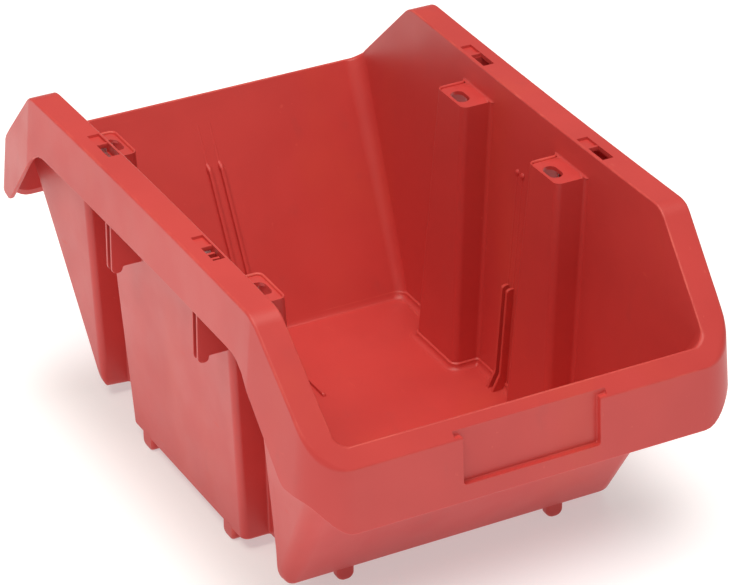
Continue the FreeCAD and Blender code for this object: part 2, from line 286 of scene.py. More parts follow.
@lru_cache(maxsize=None)
def quarter(z, column_y, skin):
    """The five rounded corners of a quarter outline at one height, with its two ends."""
    wide = FLOOR_HALF_WIDTH + SIDE_DRAFT * (z - FLOOR_Z) + skin.side
    long = FLOOR_HALF_LENGTH + END_LEAN * (z - FLOOR_Z) + skin.end
    share = (z - BOTTOM_Z) / (COLUMN_Z - BOTTOM_Z)
    half = lerp(COLUMN_FOOT_HALF, COLUMN_HEAD_HALF, share) - skin.column
    near = lerp(COLUMN_FOOT_X, COLUMN_HEAD_X, share) + skin.column
    corner_radius = INNER_CORNER + CORNER_GROWTH * (z - FLOOR_Z) + skin.corner
    outline = [(wide, 0), (wide, column_y - half), (near, column_y - half), (near, column_y + half),
               (wide, column_y + half), (wide, long), (0, long)]
    outline = [Vector((x, y, 0)) for x, y in outline]
    corners = {"A": (skin.throat, ARC_STEPS, ROOM), "B": (skin.nose, ARC_STEPS, ROOM),
               "C": (skin.nose, ARC_STEPS, ROOM), "D": (skin.throat, ARC_STEPS, THROAT_ROOM),
               "E": (corner_radius, CORNER_STEPS, CORNER_ROOM)}
    rounded = {"start": outline[0], "end": outline[-1]}
    for index, (name, (radius, steps, room)) in enumerate(corners.items()):
        rounded[name] = fillet(*outline[index:index + 3], radius, steps, room)
    return rounded


def on_skin(place, key, z, skin):
    """Point of a skin at one height. A key is a corner's letter or a stretch, and where on it."""
    kind, where = key
    rounded = quarter(round(z, 4), place.column_y, skin)
    if kind == "side_middle":
        plan = rounded["start"].lerp(rounded["A"][0], where)
    elif kind == "side_end":
        plan = rounded["D"][-1].lerp(rounded["E"][0], where)
    elif kind == "end":
        plan = rounded["E"][-1].lerp(rounded["end"], where)
    else:
        plan = rounded[kind][where]
    return Vector((place.side * plan.x, place.end * plan.y, z))


# ---- the rim's planes ----

def top_z(y):
    """Height of the rim's top surface: level, a rounded crease, then a slope."""
    y = abs(y)
    level_end = SLOPE_START - CREASE_RADIUS * math.tan(SLOPE_ANGLE / 2)
    slope_begin = level_end + CREASE_RADIUS * math.sin(SLOPE_ANGLE)
    if y <= level_end:
        return RIM_Z
    if y < slope_begin:
        return RIM_Z - CREASE_RADIUS + math.sqrt(CREASE_RADIUS ** 2 - (y - level_end) ** 2)
    return RIM_Z - (y - SLOPE_START) * math.tan(SLOPE_ANGLE)


def steepness(y):
    """How much longer an upright cut through the rim is than a square one."""
    step = 0.05
    slope = (top_z(abs(y) + step) - top_z(abs(y) - step)) / (2 * step)
    return math.sqrt(1 + slope ** 2)


def skirt_foot_profile():
    """The skirt's lower edge as points of (Y, Z): level, a slope, level, and round the corner."""
    corners = [(0, SIDE_SKIRT_Z), (SKIRT_BREAK, SIDE_SKIRT_Z), (SKIRT_TURN, SKIRT_TURN_Z),
               (SKIRT_CORNER, SKIRT_TURN_Z)]
    profile = rounded_section([Vector((y, z)) for y, z in corners], SKIRT_RADII)
    for step in range(1, CORNER_STEPS + 1):
        share = step / CORNER_STEPS
        fall = share ** SKIRT_FALL
        profile.append(Vector((lerp(SKIRT_CORNER, LIP_END, share), lerp(SKIRT_TURN_Z, END_SKIRT_Z, fall))))
    return profile


def skirt_foot_z(y):
    """Height of the skirt's lower edge."""
    for before, after in zip(SKIRT_FOOT, SKIRT_FOOT[1:]):
        if abs(y) <= after.x:
            return lerp(before.y, after.y, (abs(y) - before.x) / (after.x - before.x))
    return END_SKIRT_Z


SKIRT_FOOT = skirt_foot_profile()


def flange_z(y):
    return top_z(y) - FLANGE * steepness(y)


def seam_z(y):
    return top_z(y) - SEAM_DROP


def settle(point_at, height_at):
    """Point of an upright line of points that lies on a surface given as a height for each Y."""
    low = FLOOR_Z
    high = RIM_Z + 1
    for _ in range(22):
        z = (low + high) / 2
        if height_at(point_at(z).y) > z:
            low = z
        else:
            high = z
    return point_at((low + high) / 2)


def skirt_corner(z, inset):
    """Plan of the skirt's rounded corner, and its straight neighbours' far ends."""
    grow = SKIRT_FLARE * (RIM_Z - z) - inset
    before = Vector((RIM_HALF_WIDTH + grow, SLOPE_START, 0))
    corner = Vector((RIM_END_HALF_WIDTH + grow, RIM_END_HALF_LENGTH + grow, 0))
    after = Vector((0, RIM_END_HALF_LENGTH + grow, 0))
    return before, corner, after, RIM_CORNER + grow


def skirt_x(y, z, inset):
    """Distance of the skirt's side from the middle."""
    before, corner, _after, _radius = skirt_corner(z, inset)
    share = max(0, (abs(y) - before.y) / (corner.y - before.y))
    return lerp(before.x, corner.x, share)


def on_skirt(place, key, z, inset):
    """Point of the skirt's corner or end, at one height."""
    kind, where = key
    before, corner, after, radius = skirt_corner(z, inset)
    rounded = fillet(before, corner, after, radius, CORNER_STEPS)
    plan = rounded[where] if kind == "E" else rounded[-1].lerp(after, where)
    return Vector((place.side * plan.x, place.end * plan.y, z))


# ---- meshes ----

HIGHLIGHT_LAYER = "painted_edge_highlight"         # vertex value by which the plastic paints a lighter edge highlight, 1 on a tight outer rounding


def bowed(point):
    """Draw the long sides in a little, most at the middle of the rim and not at all at the floor."""
    along = max(0, 1 - (point.y / BOW_HALF_LENGTH) ** 2)
    up = max(0, (point.z - FLOOR_Z) / (RIM_Z - FLOOR_Z))
    out = min(1, abs(point.x) / FLOOR_HALF_WIDTH)
    return Vector((point.x - math.copysign(RIM_BOW * along * up * out, point.x), point.y, point.z))


def new_object(name, mesh):
    """Blender object of a bmesh, with its faces turned outward."""
    bmesh.ops.dissolve_degenerate(mesh, dist=1e-4, edges=mesh.edges[:])
    bmesh.ops.recalc_face_normals(mesh, faces=mesh.faces[:])
    bmesh.ops.triangulate(mesh, faces=[face for face in mesh.faces if len(face.verts) > 4])
    data = bpy.data.meshes.new(name)
    mesh.to_mesh(data)
    mesh.free()
    piece = bpy.data.objects.new(name, data)
    bpy.context.scene.collection.objects.link(piece)
    return piece


def roundness(loop):
    """How tightly a section bends outward at each of its points, from 0 to 1."""
    count = len(loop)
    facing = sum((loop[n - 1].cross(loop[n]) for n in range(count)), Vector())
    values = []
    for n in range(count):
        before = loop[n] - loop[n - 1]
        after = loop[(n + 1) % count] - loop[n]
        if min(before.length, after.length) < 1e-3 or before.cross(after).dot(facing) < 0:
            values.append(0)
        else:
            values.append(min(1, before.angle(after) / (before.length + after.length) * 2))
    return values


def add_sweep(mesh, loops):
    """Closed solid through equal loops of points, with a cap at each end."""
    highlight = mesh.verts.layers.float.get(HIGHLIGHT_LAYER) or mesh.verts.layers.float.new(HIGHLIGHT_LAYER)
    rows = []
    for loop in loops:
        rows.append([mesh.verts.new(point) for point in loop])
        for vertex, value in zip(rows[-1], roundness(loop)):
            vertex[highlight] = value
    count = len(rows[0])
    for row, following in zip(rows, rows[1:]):
        for index in range(count):
            after = (index + 1) % count
            mesh.faces.new((row[index], row[after], following[after], following[index]))
    mesh.faces.new(rows[0])
    mesh.faces.new(list(reversed(rows[-1])))


def swept(name, loops):
    mesh = bmesh.new()
    add_sweep(mesh, loops)
    return new_object(name, mesh)


def combine(piece, tool, operation):
    """Cut a tool out of a piece or join it on, and remove the tool. New points get no painted edge
    highlight.
    """
    highlighted = {}
    for vertex, highlight in zip(piece.data.vertices, piece.data.attributes[HIGHLIGHT_LAYER].data):
        highlighted[tuple(round(value, 3) for value in vertex.co)] = highlight.value
    modifier = piece.modifiers.new("combine", "BOOLEAN")
    modifier.object = tool
    modifier.solver = "EXACT"
    modifier.operation = operation
    result = bpy.data.meshes.new_from_object(piece.evaluated_get(bpy.context.evaluated_depsgraph_get()))
    piece.modifiers.clear()
    if HIGHLIGHT_LAYER not in result.attributes:
        result.attributes.new(HIGHLIGHT_LAYER, "FLOAT", "POINT")
    for vertex, highlight in zip(result.vertices, result.attributes[HIGHLIGHT_LAYER].data):
        highlight.value = highlighted.get(tuple(round(value, 3) for value in vertex.co), 0)
    piece.data = result
    bpy.data.objects.remove(tool)


def finish_piece(piece, nodes):
    """Bow, scale to metres, smooth shading with crisp edges, material, a parent under the root body, and the
    CAD nodes it replaces hidden.
    """
    for vertex in piece.data.vertices:
        vertex.co = bowed(vertex.co) * MM
    piece.data.shade_smooth()
    piece.data.set_sharp_from_angle(angle=SHARP_ANGLE)
    weights = piece.modifiers.new("weights", "WEIGHTED_NORMAL")
    weights.keep_sharp = True
    weights.weight = 60
    piece.data.materials.clear()
    piece.data.materials.append(PLASTIC)
    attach(piece, "root")
    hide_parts(*nodes)


# ---- walls and columns ----

COLUMN_ARCH = [(name, step) for name in "ABCD" for step in range(ARC_STEPS + 1)]
COLUMN_KEYS = [("side_middle", MIDDLE_SEAM)] + COLUMN_ARCH + [("side_end", END_SEAM_NEAR)]
CORNER_KEYS = [("E", step) for step in range(CORNER_STEPS + 1)]
END_KEYS = [("end", 0.3), ("end", 0.6)]


def on_panel(place, key, z):
    """Point of the floor panel's upright edge. The panel doesn't reach behind the left columns."""
    point = on_skin(place, key, FLOOR_Z, PANEL[place.side])
    if place.side < 0 and key[0] in ("D", "side_end", "E"):
        point.x = max(point.x, -PILLAR_X)
    point.z = z
    return point


def pillar_share(place, key):
    """How far a station belongs to the narrow pillar by a left column, from 0 to 1."""
    kind, where = key
    if place.side > 0 or kind not in ("D", "side_end", "E"):
        return 0
    if kind == "D":
        return lerp(0.5, 1, where / ARC_STEPS)
    return math.cos(math.pi / 2 * where / CORNER_STEPS) ** 2 if kind == "E" else 1


def low_inside(place, key):
    """From the step line down the fillet to the floor."""
    band = BAND[place.side]
    points = [on_skin(place, key, WALL_STEP_Z, INNER), on_skin(place, key, WALL_STEP_Z - WALL_STEP, band)]
    for out, up in arc_shares(ARC_STEPS):
        skin = mix(band, FLOOR_EDGE[place.side], out)
        points.append(on_skin(place, key, FLOOR_Z + FLOOR_FILLET[place.side] * (1 - up), skin))
    points.append(on_panel(place, key, FLOOR_Z))
    return points


def low_outside(place, key):
    """From the floor panel's edge round the bottom edge and up."""
    share = pillar_share(place, key)
    inward = lerp(BOTTOM_EDGE, PILLAR_BOTTOM_EDGE[0], share)
    upward = lerp(BOTTOM_EDGE, PILLAR_BOTTOM_EDGE[1], share)
    rim = BOTTOM_RIM._replace(side=WALL - inward, end=END_WALL - inward, corner=WALL - inward,
                              column=lerp(BOTTOM_RIM.column, PILLAR_COLUMN_EDGE, share))
    points = [on_panel(place, key, BOTTOM_Z)]
    for out, up in reversed(arc_shares(ARC_STEPS)):
        points.append(on_skin(place, key, BOTTOM_Z + upward * (1 - up), mix(OUTER, rim, out)))
    return points


def risers(place, key, top, skin):
    """Points of a wall between its step line and its upper edge, from the lowest."""
    return [on_skin(place, key, lerp(WALL_STEP_Z, top, share), skin) for share in RISE_SHARES]


def wall_loop(place, key):
    """Section of a plain stretch of wall, down the inside and up the outside."""
    inside_top = settle(partial(on_skin, place, key, skin=INNER), seam_z)
    outside_top = settle(partial(on_skin, place, key, skin=OUTER), seam_z)
    inside = [inside_top] + risers(place, key, inside_top.z, INNER)[::-1]
    outside = risers(place, key, inside_top.z, OUTER) + [outside_top]
    return inside + low_inside(place, key) + low_outside(place, key) + outside


def across_column(place, key, z, skin):
    """Point of the plain wall above a column, with the column's points spread along it."""
    point = on_skin(place, key, z, skin)
    if key in COLUMN_ARCH:
        share = COLUMN_ARCH.index(key) / (len(COLUMN_ARCH) - 1)
        first = on_skin(place, COLUMN_ARCH[0], z, skin)
        last = on_skin(place, COLUMN_ARCH[-1], z, skin)
        point = first.lerp(last, share)
    return point


def column_loop(place, key):
    """Section through a column and the wall strip above it. A wing is a section beside the column,
    where the inside runs straight down past the height of the column's rounded top."""
    seam = RIM_Z - SEAM_DROP
    wing = key not in COLUMN_ARCH or key in (COLUMN_ARCH[0], COLUMN_ARCH[-1])
    inside = [across_column(place, key, seam, INNER)]
    shelf = []
    for out, up in arc_shares(ARC_STEPS):
        skin = INNER._replace(side=-COLUMN_EDGE * out)
        shelf.append(across_column(place, key, COLUMN_Z + COLUMN_EDGE * (1 - up), skin))
    for out, up in reversed(arc_shares(ARC_STEPS)):
        skin = INNER._replace(column=COLUMN_EDGE * up, nose=INNER.nose - COLUMN_EDGE * up)
        shelf.append(on_skin(place, key, COLUMN_Z - COLUMN_EDGE * out, skin))
    if wing:
        count = len(shelf) - 1
        heights = [lerp(COLUMN_Z + COLUMN_EDGE, COLUMN_Z - COLUMN_EDGE, n / count) for n in range(count + 1)]
        shelf = [on_skin(place, key, z, INNER) for z in heights]
    inside += shelf + risers(place, key, seam, INNER)[::-1]
    ceiling = COLUMN_Z - WALL
    outside = risers(place, key, seam, OUTER)
    outside += [on_skin(place, key, ceiling - (WING_DROP if wing else 0), OUTER),
                across_column(place, key, ceiling, OUTER),
                across_column(place, key, seam, OUTER)]
    return inside + low_inside(place, key) + low_outside(place, key) + outside


def crease_ys():
    """Y positions round the crease, where the rim turns down."""
    reach = CREASE_RADIUS * math.tan(SLOPE_ANGLE / 2)
    first = SLOPE_START - reach
    last = first + CREASE_RADIUS * math.sin(SLOPE_ANGLE)
    return [lerp(first, last, step / CREASE_STEPS) for step in range(CREASE_STEPS + 1)]


def side_end_keys(place):
    """Keys between a column and the corner whose upper ends follow the crease."""
    keys = [("side_end", END_SEAM_NEAR)]
    for y in crease_ys():
        z = seam_z(y)
        first = abs(on_skin(place, ("side_end", 0), z, INNER).y)
        last = abs(on_skin(place, ("side_end", 1), z, INNER).y)
        keys.append(("side_end", (y - first) / (last - first)))
    return keys + [("side_end", END_SEAM_FAR)]


def make_walls():
    for (side_name, end_name), place in PLACES.items():
        column = swept(f"{side_name}_{end_name}_column", [column_loop(place, key) for key in COLUMN_KEYS])
        cut_column_hole(column, place)
        finish_piece(column, [f"{side_name}_{end_name}_column"])
        wall = swept(f"{side_name}_wall_{end_name}", [wall_loop(place, key) for key in side_end_keys(place)])
        finish_piece(wall, [f"{side_name}_wall_{end_name}"])
    for side_name in COLUMN_Y:
        front, back = PLACES[side_name, "front"], PLACES[side_name, "back"]
        shares = [MIDDLE_SEAM * step / MIDDLE_STEPS for step in range(MIDDLE_STEPS, 0, -1)]
        loops = [wall_loop(front, ("side_middle", share)) for share in shares]
        loops += [wall_loop(back, ("side_middle", share)) for share in [0] + shares[::-1]]
        finish_piece(swept(f"{side_name}_wall_middle", loops), [f"{side_name}_wall_middle"])
    for end_name in ("front", "back"):
        keys = [("side_end", END_SEAM_FAR)] + CORNER_KEYS + END_KEYS
        loops = [wall_loop(PLACES["left", end_name], key) for key in keys + [("end", 1)]]
        loops += [wall_loop(PLACES["right", end_name], key) for key in reversed(keys)]
        finish_piece(swept(f"{end_name}_wall", loops), [f"{end_name}_wall"])


def make_floor():
    """Plate inside the walls' floor fillets, notched round the columns."""
    keys = COLUMN_ARCH + CORNER_KEYS
    outline = []
    for side_name, end_name in (("right", "back"), ("left", "back"), ("left", "front"), ("right", "front")):
        ordered = keys if (side_name == "right") == (end_name == "back") else keys[::-1]
        outline += [(PLACES[side_name, end_name], key) for key in ordered]
    loops = [[on_panel(place, key, z) for place, key in outline] for z in (BOTTOM_Z, FLOOR_Z)]
    finish_piece(swept("floor_panel", loops), ["floor_panel"])


# ---- tools and small solids ----

def obround_ring(width, length, z, centre_x, centre_y):
    """Long-hole outline with its long side along Y."""
    radius = width / 2
    run = (length - width) / 2
    ring = []
    for step in range(2 * HOLE_STEPS):
        angle = math.pi * (step + 0.5) / HOLE_STEPS
        shift = run if math.sin(angle) > 0 else -run
        x = centre_x + radius * math.cos(angle)
        y = centre_y + shift + radius * math.sin(angle)
        ring.append(Vector((x, y, z)))
    return ring


def cut_column_hole(column, place):
    """Long hole through the column's top, with a rounded mouth."""
    x = place.side * STACK_X
    y = place.end * place.column_y
    rings = [obround_ring(*COLUMN_HOLE, COLUMN_Z - 2 * WALL, x, y)]
    for out, up in arc_shares(ARC_STEPS):
        width, length = (size + 2 * COLUMN_HOLE_EDGE * out for size in COLUMN_HOLE)
        rings.append(obround_ring(width, length, COLUMN_Z - COLUMN_HOLE_EDGE * (1 - up), x, y))
    width, length = (size + 4 * COLUMN_HOLE_EDGE for size in COLUMN_HOLE)
    rings.append(obround_ring(width, length, COLUMN_Z + COLUMN_HOLE_EDGE, x, y))
    combine(column, swept("tool", rings), "DIFFERENCE")


# ---- rim ----

def rim_radii(softness=0):
    """Roundings of a cut through the rim, from the wall's inner edge to the underside."""
    return (INNER_LIP_EDGE + softness, OUTER_LIP_EDGE + softness, SKIRT_EDGE, SKIRT_EDGE,
            UNDER_FILLET, UNDER_FILLET)


def wall_x(z):
    """Distance of a side wall's inner face from the middle."""
    return FLOOR_HALF_WIDTH + SIDE_DRAFT * (z - FLOOR_Z)


def wall_y(z):
    """Distance of an end wall's inner face from the middle."""
    return FLOOR_HALF_LENGTH + END_LEAN * (z - FLOOR_Z)


def side_rim_loop(side, y):
    """Upright cut across the rim at one Y."""
    foot = skirt_foot_z(y)
    under = flange_z(y)
    seam = seam_z(y)
    corners = [(wall_x(seam), seam), (wall_x(top_z(y)), top_z(y)), (skirt_x(y, top_z(y), 0), top_z(y)),
               (skirt_x(y, foot, 0), foot), (skirt_x(y, foot, SKIRT), foot),
               (skirt_x(y, under, SKIRT), under), (wall_x(under) + WALL, under),
               (wall_x(seam) + WALL, seam)]
    return rounded_section([Vector((side * x, y, z)) for x, z in corners], rim_radii())


def lip_loop(place, key):
    """Cut across the rim at a corner or at an end."""
    on_inside = partial(on_skin, place, key, skin=INNER)
    on_outside = partial(on_skin, place, key, skin=OUTER)
    on_face = partial(on_skirt, place, key, inset=0)
    behind_face = partial(on_skirt, place, key, inset=SKIRT)
    corners = [settle(on_inside, seam_z), settle(on_inside, top_z), settle(on_face, top_z),
               settle(on_face, skirt_foot_z), settle(behind_face, skirt_foot_z),
               settle(behind_face, flange_z), settle(on_outside, flange_z), settle(on_outside, seam_z)]
    kind, where = key
    softness = CORNER_SOFTNESS * math.sin(math.pi * where / CORNER_STEPS) ** 2 if kind == "E" else 0
    return rounded_section(corners, rim_radii(softness))


def make_rim():
    for side_name, side in (("left", -1), ("right", 1)):
        ys = [RIM_PART_Y * step / RIM_STEPS for step in range(RIM_STEPS)]
        ys += [RIM_PART_Y - 6, RIM_PART_Y - 3, RIM_PART_Y]
        ys = [-y for y in reversed(ys[1:])] + ys
        rim = swept(f"{side_name}_rim", [side_rim_loop(side, y) for y in ys])
        for end in (-1, 1):
            cut_slot(rim, side, end)
        finish_piece(rim, [f"{side_name}_rim"])
        for end_name, end in (("front", -1), ("back", 1)):
            ys = [end * y for y in [RIM_PART_Y] + crease_ys() + [LIP_PART_Y]]
            slope = swept(f"{side_name}_{end_name}_rim_slope", [side_rim_loop(side, y) for y in ys])
            finish_piece(slope, [f"{side_name}_{end_name}_rim_slope"])
    for end_name, end in (("front", -1), ("back", 1)):
        keys = CORNER_KEYS + END_KEYS
        ys = [end * y for y in (LIP_PART_Y, SKIRT_TURN - 2, SKIRT_TURN - 1, SKIRT_TURN, SKIRT_TURN + 2)]
        loops = [side_rim_loop(-1, y) for y in ys]
        loops += [lip_loop(PLACES["left", end_name], key) for key in keys + [("end", 1)]]
        loops += [lip_loop(PLACES["right", end_name], key) for key in reversed(keys)]
        loops += [side_rim_loop(1, y) for y in reversed(ys)]
        lip = swept(f"{end_name}_lip", loops)
        if end_name == "front":
            cut_label_recess(lip)
        finish_piece(lip, [f"{end_name}_lip"])


def cut_slot(rim, side, end):
    """Stepped slot: a shelf at the back, a ridge, a through hole, and a ramp up at the front."""
    half = SLOT[0] / 2
    front = end * SLOT_Y - SLOT[1] / 2
    back = front + SLOT[1]
    floor_z = RIM_Z - SLOT_SHELF_DEPTH
    ridge_z = floor_z + SLOT_RIDGE_HEIGHT
    ridge_start, ridge_end = (front + y for y in SLOT_RIDGE)
    profile = [(front - SLOT_LONG_LEAN, RIM_Z + CLEAR), (front, RIM_Z), (front + SLOT_RAMP, floor_z),
               (ridge_start - SLOT_LEAN, floor_z), (ridge_start, ridge_z), (ridge_end, ridge_z),
               (ridge_end + SLOT_LONG_LEAN, floor_z), (back - SLOT_LEAN, floor_z), (back, RIM_Z),
               (back + SLOT_LEAN, RIM_Z + CLEAR)]
    pocket = [[Vector((side * SLOT_X + x, y, z)) for y, z in profile] for x in (-half, half)]
    combine(rim, swept("tool", pocket), "DIFFERENCE")
    hole_plan = [(-half, SLOT_RAMP), (half, SLOT_RAMP), (half, SLOT_HOLE_END), (-half, SLOT_HOLE_END)]
    hole = []
    for z in (RIM_Z - 2 * FLANGE, RIM_Z + CLEAR):
        hole.append([Vector((side * SLOT_X + x, front + y, z)) for x, y in hole_plan])
    combine(rim, swept("tool", hole), "DIFFERENCE")


# ---- label recess ----

def lip_face(x, depth, z):
    """Point at a depth behind the front lip's face, which flares out downward."""
    return Vector((x, depth - RIM_END_HALF_LENGTH - SKIRT_FLARE * (RIM_Z - z), z))


def label_outline(depth, grow):
    """Outline of the label recess at one depth, open at the top, with a notch at each upper corner."""
    wide = LABEL_HALF_WIDTH + grow
    notch = wide + LABEL_NOTCH
    notch_z = LABEL_NOTCH_Z - grow
    bottom = LABEL_BOTTOM_Z - grow
    half = [(notch, RIM_Z), (notch, notch_z), (wide, notch_z), (wide, bottom)]
    corners = half + [(-x, z) for x, z in reversed(half)]
    points = [Vector((x, z, 0)) for x, z in corners]
    section = rounded_section(points, LABEL_RADII + LABEL_RADII[::-1])
    return [lip_face(LABEL_X + point.x, depth, point.y) for point in section]


def cut_label_recess(lip):
    """Thicken the lip's skirt from behind, then sink the recess into its face."""
    behind = LABEL_DEPTH + SKIRT
    profile = [(BACKING_START, BACKING_FRONT_Z[0]), (behind, BACKING_REAR_Z[0]),
               (behind, BACKING_REAR_Z[1]), (BACKING_START, BACKING_FRONT_Z[1])]
    backing = []
    for x in (LABEL_X - LABEL_HALF_WIDTH - SKIRT, LABEL_X + LABEL_HALF_WIDTH + SKIRT):
        backing.append([lip_face(x, depth, z) for depth, z in profile])
    combine(lip, swept("tool", backing), "UNION")
    loops = [label_outline(-LABEL_CLEAR, LABEL_MOUTH)]
    for out, up in arc_shares(LABEL_STEPS):
        loops.append(label_outline(LABEL_MOUTH * out, LABEL_MOUTH * (1 - up)))
    for out, up in arc_shares(LABEL_STEPS):
        loops.append(label_outline(LABEL_DEPTH - LABEL_FLOOR_EDGE * (1 - up), -LABEL_FLOOR_EDGE * out))
    combine(lip, swept("tool", loops), "DIFFERENCE")


# ---- webs, guides and feet ----

def soften(mesh, width):
    """Bevel every crisp edge."""
    bmesh.ops.dissolve_degenerate(mesh, dist=1e-3, edges=mesh.edges[:])
    bmesh.ops.recalc_face_normals(mesh, faces=mesh.faces[:])
    edges = [edge for edge in mesh.edges if edge.calc_face_angle(0) > BEVEL_ANGLE]
    bmesh.ops.bevel(mesh, geom=edges, offset=width, segments=2, profile=0.5, affect="EDGES")


def make_webs():
    """Pairs of hanger plates, sunk a little into the wall, the skirt and the flange."""
    for name in nodes_ending("hanger_webs"):
        centre = middle(name)
        side = math.copysign(1, centre.x)
        mesh = bmesh.new()
        for y in (centre.y - WEB_PITCH / 2, centre.y + WEB_PITCH / 2):
            shoulder = SIDE_SKIRT_Z + WEB
            top = RIM_Z - FLANGE + SUNK
            corners = [(wall_x(WEB_BOTTOM_Z) + WALL - SUNK, WEB_BOTTOM_Z), (WEB_TONGUE_X, WEB_BOTTOM_Z),
                       (WEB_TONGUE_X, WEB_TONGUE_Z), (WEB_OUTER_X, WEB_TONGUE_Z), (WEB_OUTER_X, shoulder),
                       (skirt_x(y, shoulder, SKIRT) + SUNK, shoulder), (skirt_x(y, top, SKIRT) + SUNK, top),
                       (wall_x(top) + WALL - SUNK, top)]
            corners = [Vector((side * x, y, z)) for x, z in corners]
            outline = rounded_section(corners, WEB_RADII, WEB_ROOM)
            loops = []
            for shift in (-WEB / 2, WEB / 2):
                loops.append([point + Vector((0, shift, 0)) for point in outline])
            add_sweep(mesh, loops)
        soften(mesh, WEB_BEVEL)
        finish_piece(new_object(name, mesh), [name])


def off_side_wall(side, across, out, z):
    """Point at a distance off the inner face of a side wall."""
    return Vector((side * (wall_x(z) - out), across, z))


def off_end_wall(end, across, out, z):
    """Point at a distance off the inner face of an end wall."""
    return Vector((across, end * (wall_y(z) - out), z))


def add_rib(mesh, off_wall, across, corners, radii):
    """Upright plate whose outline is given as distances off the wall and heights."""
    outline = rounded_section([Vector((out, z, 0)) for out, z in corners], radii)
    loops = []
    for shift in (-GUIDE / 2, GUIDE / 2):
        loops.append([off_wall(across + shift, point.x, point.y) for point in outline])
    add_sweep(mesh, loops)


def add_relief(mesh, off_wall, across, stations):
    """Low rounded line up a wall through stations of height, half width and rise."""
    loops = []
    for z, half_width, rise in stations:
        loop = [off_wall(across + half_width, GUIDE_ROOT, z)]
        for step in range(LINE_STEPS + 1):
            angle = math.pi * step / LINE_STEPS
            loop.append(off_wall(across + half_width * math.cos(angle), rise * math.sin(angle), z))
        loop.append(off_wall(across - half_width, GUIDE_ROOT, z))
        loops.append(loop)
    add_sweep(mesh, loops)


def make_side_guides():
    """Ribs with a sloping toe, and above each a thin line that swells into a bump at its top."""
    root_z = FLOOR_Z - GUIDE_SUNK
    corners = [(GUIDE_ROOT, root_z), (SIDE_GUIDE_TOE, root_z),
               (SIDE_GUIDE_DEPTH, FLOOR_Z + SIDE_GUIDE_TOE_HEIGHT),
               (SIDE_GUIDE_DEPTH, SIDE_GUIDE_Z), (GUIDE_ROOT, SIDE_GUIDE_Z)]
    line = [(SIDE_GUIDE_Z - 2, 0.7, 0.2), (SIDE_LINE_Z - 2.6, 0.6, 0.16), (SIDE_LINE_Z - 1.8, 0.9, 0.4),
            (SIDE_LINE_Z - 1, 1.4, 0.85), (SIDE_LINE_Z, 1.6, 1.0), (SIDE_LINE_Z + 0.8, 1.2, 0.7),
            (SIDE_LINE_Z + 1.3, 0.4, 0.1)]
    for name, side in (("left_divider_guide", -1), ("right_divider_guide", 1)):
        off_wall = partial(off_side_wall, side)
        ribs = bmesh.new()
        lines = bmesh.new()
        for across in (-SIDE_GUIDE_Y, SIDE_GUIDE_Y):
            add_rib(ribs, off_wall, across, corners, SIDE_GUIDE_RADII)
            add_relief(lines, off_wall, across, line)
        finish_guide(name, ribs, lines)


def make_end_guides():
    """Ribs that run down the end wall and on along the floor, each with a fading line above."""
    root_z = FLOOR_Z - GUIDE_SUNK
    floor_run = wall_y(FLOOR_Z) - FLOOR_GUIDE_END
    floor_top = FLOOR_Z + FLOOR_GUIDE_HEIGHT
    corners = [(GUIDE_ROOT, root_z), (floor_run, root_z), (floor_run, floor_top),
               (END_GUIDE_DEPTH, floor_top), (END_GUIDE_DEPTH, END_GUIDE_Z - 1),
               (GUIDE_ROOT, END_GUIDE_Z - 1)]
    line = [(END_GUIDE_Z - 6, 0.7, 2.0), (END_GUIDE_Z - 4, 1.1, 2.6), (END_GUIDE_Z - 2, 1.4, 2.7),
            (END_GUIDE_Z - 0.6, 1.3, 2.1), (END_GUIDE_Z, 0.8, 0.6), (END_GUIDE_Z + 1, 0.6, 0.18),
            (END_LINE_Z, 0.5, 0.14), (END_LINE_Z + 1, 0.2, 0.03)]
    for name, end in (("front_divider_guide", -1), ("back_divider_guide", 1)):
        off_wall = partial(off_end_wall, end)
        ribs = bmesh.new()
        lines = bmesh.new()
        for across in (-END_GUIDE_X, END_GUIDE_X):
            add_rib(ribs, off_wall, across, corners, END_GUIDE_RADII)
            add_relief(lines, off_wall, across, line)
        finish_guide(name, ribs, lines)


def finish_guide(name, ribs, lines):
    """Join the ribs and the lines that run on above them."""
    soften(ribs, GUIDE_BEVEL)
    guide = new_object(name, ribs)
    combine(guide, new_object("tool", lines), "UNION")
    finish_piece(guide, [name])


def make_feet():
    """Small bars under the walls, rounded most at the ends of their soles."""
    for name in nodes_ending("foot"):
        low, high = millimetres(name)
        centre = (low + high) / 2
        half_x, half_y = (high.x - low.x) / 2, (high.y - low.y) / 2
        edge_x, edge_y = (FOOT_SIDES, FOOT_ENDS) if half_y > half_x else (FOOT_ENDS, FOOT_SIDES)
        loops = []
        for out, up in arc_shares(ARC_STEPS):
            x, y = half_x - edge_x * (1 - up), half_y - edge_y * (1 - up)
            z = low.z + FOOT_ENDS * out
            loops.append(rounded_rectangle(centre, x, y, z))
        loops.append(rounded_rectangle(centre, half_x, half_y, FLOOR_Z - FOOT_TOP))
        finish_piece(swept(name, loops), [name])


def rounded_rectangle(centre, half_x, half_y, z):
    """Level outline with well rounded corners."""
    radius = FOOT_CORNER * min(half_x, half_y)
    outline = []
    for quadrant in range(4):
        turn = math.pi / 2 * quadrant
        sign_x = 1 if quadrant in (0, 3) else -1
        sign_y = 1 if quadrant in (0, 1) else -1
        for step in range(ARC_STEPS + 1):
            angle = turn + math.pi / 2 * step / ARC_STEPS
            x = centre.x + sign_x * (half_x - radius) + radius * math.cos(angle)
            y = centre.y + sign_y * (half_y - radius) + radius * math.sin(angle)
            outline.append(Vector((x, y, z)))
    return outline


# ---- material ----

